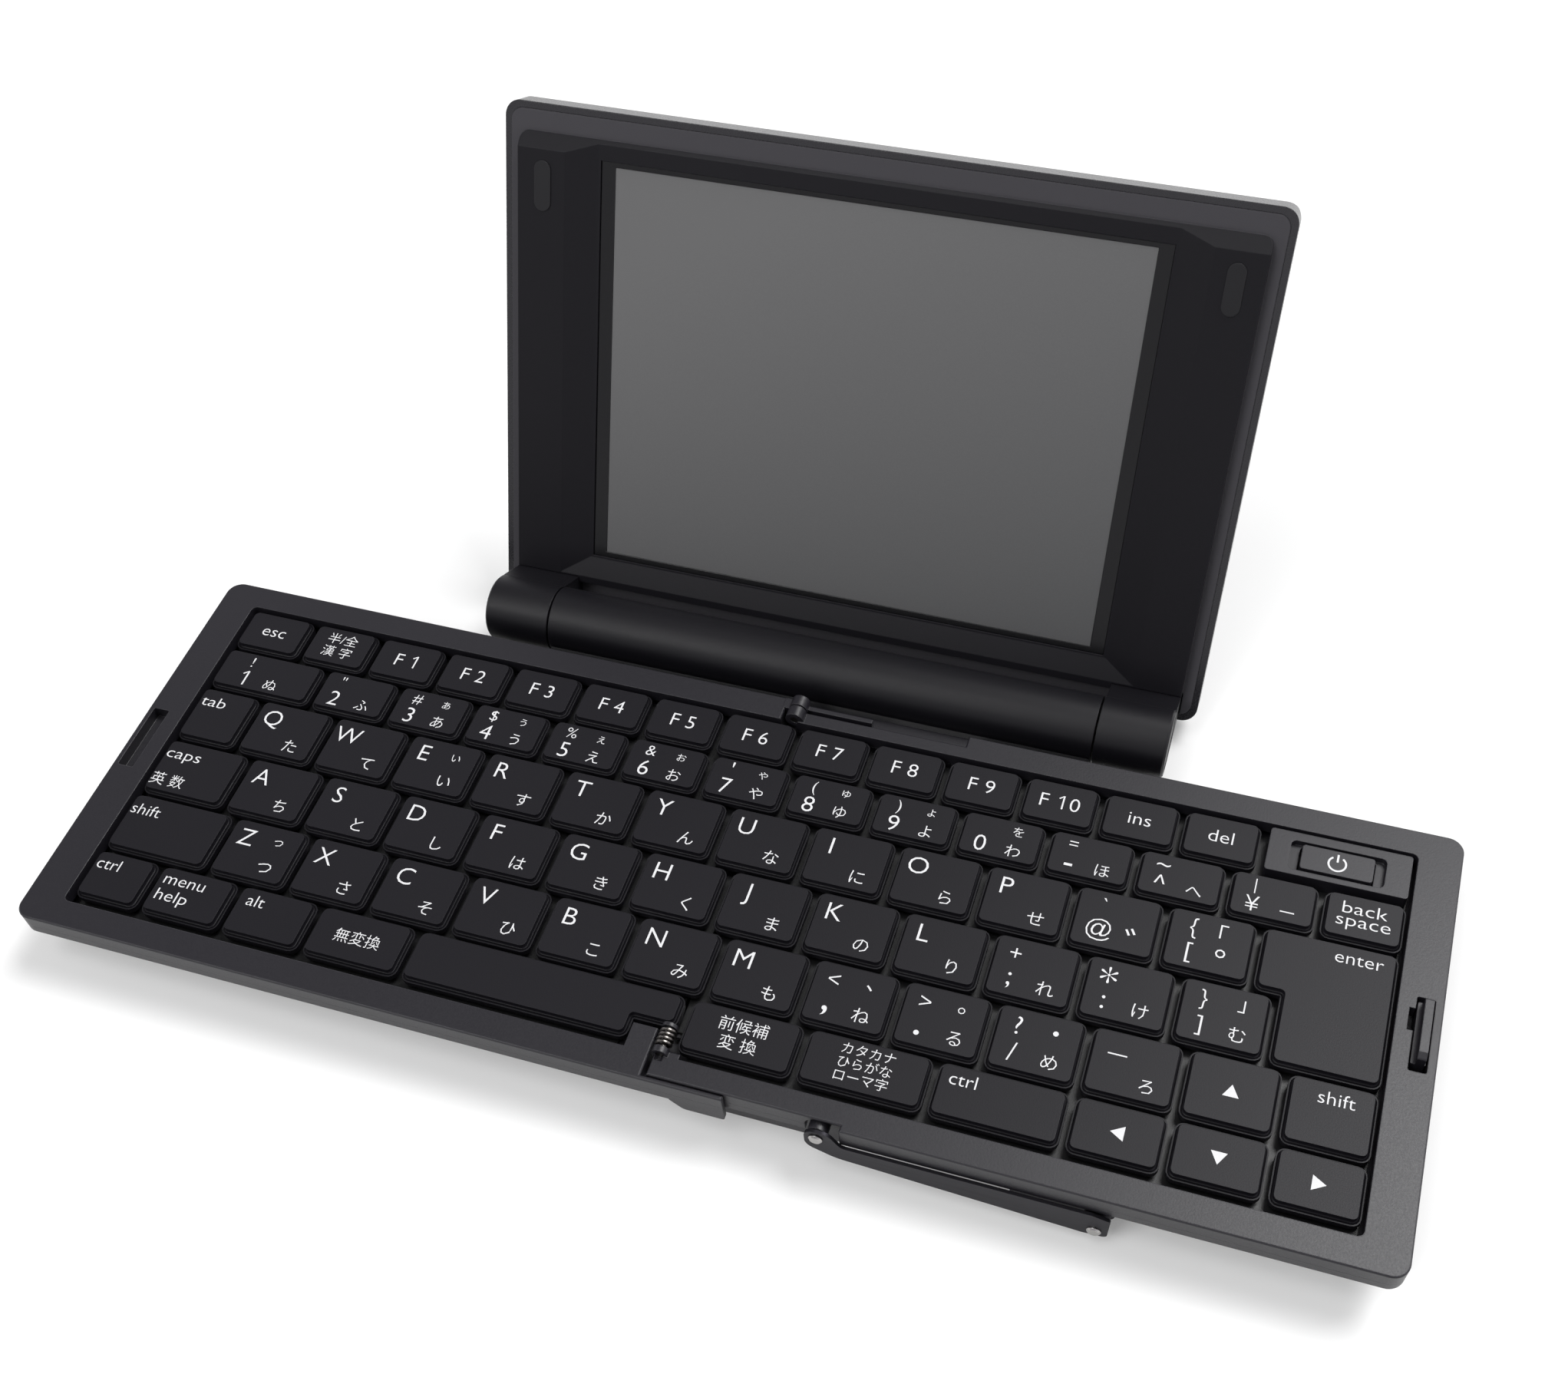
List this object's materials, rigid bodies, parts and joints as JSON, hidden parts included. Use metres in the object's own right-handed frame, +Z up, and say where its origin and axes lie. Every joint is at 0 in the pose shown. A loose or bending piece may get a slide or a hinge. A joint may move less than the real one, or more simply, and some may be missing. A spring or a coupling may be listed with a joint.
{
  "type": "electronic word processor",
  "caption": "Pocket word processor with a hinged display lid on a battery barrel and a keyboard that folds in half and slides onto its base.",
  "frame": {"origin": "on the table, in the middle of the open set's bounding box", "axes": "+X to the typist's right along the keyboard, +Y away from the typist, +Z up"},
  "size_m": [0.2502, 0.1556, 0.0938],
  "materials": {
    "graphite_plastic": "fine-grained moulded plastic, dark graphite",
    "key_plastic": "matt moulded keycaps",
    "dark_plastic": "dark moulded plastic",
    "soft_rubber": "soft black rubber",
    "steel": "plain sheet steel",
    "bright_steel": "polished steel",
    "arm_metal": "painted sheet metal",
    "window_glass": "clear window with a dark border",
    "display_glass": "liquid crystal panel",
    "aluminium_sheet": "pressed aluminium",
    "circuit_laminate": "green circuit laminate",
    "cell_jacket": "battery jacket"
  },
  "bodies": {
    "base": {"base_lower_shell": "graphite_plastic", "base_top_deck": "graphite_plastic", "slide_guide_rails": "steel", "rubber_feet": "soft_rubber", "base_screws": "steel", "main_circuit_board": "circuit_laminate", "circuit_components": "dark_plastic", "usb_socket": "steel", "memory_card_socket": "steel", "arm_bracket": "arm_metal", "hinge_barrel": "graphite_plastic", "battery_cover": "graphite_plastic", "battery_left": "cell_jacket", "battery_right": "cell_jacket", "battery_contacts": "steel"},
    "left_half": {"left_keyboard_frame": "graphite_plastic", "left_lower_shell": "graphite_plastic", "left_key_plate": "steel", "left_switch_membrane": "soft_rubber", "left_half_screws": "steel", "slide_shoes": "soft_rubber", "fold_hinge_pins": "steel", "fold_torsion_spring": "bright_steel"},
    "right_half": {"right_keyboard_frame": "graphite_plastic", "right_lower_shell": "graphite_plastic", "arm_pivot_boss": "graphite_plastic", "arm_pivot_rivet": "bright_steel", "right_key_plate": "steel", "right_switch_membrane": "soft_rubber", "right_half_screws": "steel", "power_panel": "graphite_plastic"},
    "slide_link": {"slide_arm": "arm_metal", "arm_foot_rivet": "bright_steel"},
    "lid": {"lid_back_shell": "graphite_plastic", "lid_front_bezel": "graphite_plastic", "lid_hinge_knuckles": "graphite_plastic", "knuckle_end_caps": "graphite_plastic", "lid_hinge_pins": "steel", "display_window": "window_glass", "display_panel": "display_glass", "display_backing_frame": "aluminium_sheet", "display_driver_board": "circuit_laminate", "lid_rubber_buffers": "soft_rubber"},
    "left_function_keys_group": {"left_function_keys": "key_plastic"},
    "left_number_keys_group": {"left_number_keys": "key_plastic"},
    "left_upper_letter_keys_group": {"left_upper_letter_keys": "key_plastic"},
    "left_home_keys_group": {"left_home_keys": "key_plastic"},
    "left_lower_letter_keys_group": {"left_lower_letter_keys": "key_plastic"},
    "left_bottom_keys_group": {"left_bottom_keys": "key_plastic"},
    "space_bar_cap": {"space_bar": "key_plastic"},
    "right_function_keys_group": {"right_function_keys": "key_plastic"},
    "right_number_keys_group": {"right_number_keys": "key_plastic"},
    "right_upper_letter_keys_group": {"right_upper_letter_keys": "key_plastic"},
    "right_home_keys_group": {"right_home_keys": "key_plastic"},
    "right_lower_letter_keys_group": {"right_lower_letter_keys": "key_plastic"},
    "right_bottom_keys_group": {"right_bottom_keys": "key_plastic"},
    "enter_key_cap": {"enter_key": "key_plastic"},
    "power_button_cap": {"power_button": "dark_plastic"},
    "latch": {"latch_hook": "dark_plastic"}
  },
  "joints": [
    {"name": "lid_hinge", "type": "hinge", "parent": "base", "child": "lid", "pos_m": [0, 0.02, 0.01083], "axis": [-1, 0, 0], "range_deg": [-115.39, 0]},
    {"name": "keyboard_slide", "type": "slide", "parent": "base", "child": "left_half", "axis": [-1, 0, 0], "range_m": [-0.0606, 0]},
    {"name": "keyboard_fold", "type": "hinge", "parent": "left_half", "child": "right_half", "pos_m": [0, -0.01894, 0.01495], "axis": [0, 1, 0], "range_deg": [-180, 0]},
    {"name": "arm_swing", "type": "hinge", "parent": "right_half", "child": "slide_link", "pos_m": [0.0296, -0.07694, 0.0119], "axis": [0, 1, 0], "range_deg": [0, 187.5]},
    {"name": "left_function_keys_press", "type": "slide", "parent": "left_half", "child": "left_function_keys_group", "axis": [0, 0, 1], "range_m": [-0.0011, 0], "stiffness_N_per_m": 400, "springref_m": 0.0005},
    {"name": "left_number_keys_press", "type": "slide", "parent": "left_half", "child": "left_number_keys_group", "axis": [0, 0, 1], "range_m": [-0.0011, 0], "stiffness_N_per_m": 400, "springref_m": 0.0005},
    {"name": "left_upper_letter_keys_press", "type": "slide", "parent": "left_half", "child": "left_upper_letter_keys_group", "axis": [0, 0, 1], "range_m": [-0.0011, 0], "stiffness_N_per_m": 400, "springref_m": 0.0005},
    {"name": "left_home_keys_press", "type": "slide", "parent": "left_half", "child": "left_home_keys_group", "axis": [0, 0, 1], "range_m": [-0.0011, 0], "stiffness_N_per_m": 400, "springref_m": 0.0005},
    {"name": "left_lower_letter_keys_press", "type": "slide", "parent": "left_half", "child": "left_lower_letter_keys_group", "axis": [0, 0, 1], "range_m": [-0.0011, 0], "stiffness_N_per_m": 400, "springref_m": 0.0005},
    {"name": "left_bottom_keys_press", "type": "slide", "parent": "left_half", "child": "left_bottom_keys_group", "axis": [0, 0, 1], "range_m": [-0.0011, 0], "stiffness_N_per_m": 400, "springref_m": 0.0005},
    {"name": "space_bar_press", "type": "slide", "parent": "left_half", "child": "space_bar_cap", "axis": [0, 0, 1], "range_m": [-0.0011, 0], "stiffness_N_per_m": 400, "springref_m": 0.0005},
    {"name": "right_function_keys_press", "type": "slide", "parent": "right_half", "child": "right_function_keys_group", "axis": [0, 0, 1], "range_m": [-0.0011, 0], "stiffness_N_per_m": 400, "springref_m": 0.0005},
    {"name": "right_number_keys_press", "type": "slide", "parent": "right_half", "child": "right_number_keys_group", "axis": [0, 0, 1], "range_m": [-0.0011, 0], "stiffness_N_per_m": 400, "springref_m": 0.0005},
    {"name": "right_upper_letter_keys_press", "type": "slide", "parent": "right_half", "child": "right_upper_letter_keys_group", "axis": [0, 0, 1], "range_m": [-0.0011, 0], "stiffness_N_per_m": 400, "springref_m": 0.0005},
    {"name": "right_home_keys_press", "type": "slide", "parent": "right_half", "child": "right_home_keys_group", "axis": [0, 0, 1], "range_m": [-0.0011, 0], "stiffness_N_per_m": 400, "springref_m": 0.0005},
    {"name": "right_lower_letter_keys_press", "type": "slide", "parent": "right_half", "child": "right_lower_letter_keys_group", "axis": [0, 0, 1], "range_m": [-0.0011, 0], "stiffness_N_per_m": 400, "springref_m": 0.0005},
    {"name": "right_bottom_keys_press", "type": "slide", "parent": "right_half", "child": "right_bottom_keys_group", "axis": [0, 0, 1], "range_m": [-0.0011, 0], "stiffness_N_per_m": 400, "springref_m": 0.0005},
    {"name": "enter_key_press", "type": "slide", "parent": "right_half", "child": "enter_key_cap", "axis": [0, 0, 1], "range_m": [-0.0011, 0], "stiffness_N_per_m": 400, "springref_m": 0.0005},
    {"name": "power_button_press", "type": "slide", "parent": "right_half", "child": "power_button_cap", "axis": [0, 0, 1], "range_m": [-0.0005, 0], "stiffness_N_per_m": 400, "springref_m": 0.0003},
    {"name": "latch_slide", "type": "slide", "parent": "right_half", "child": "latch", "axis": [0, -1, 0], "range_m": [0, 0.0012], "stiffness_N_per_m": 300, "springref_m": -0.0005}
  ],
  "couplings": [
    {"joint": "keyboard_slide", "follows": "keyboard_fold", "m_per_rad": 0.019267},
    {"joint": "arm_swing", "follows": "keyboard_fold", "ratio": -1.0416}
  ]
}
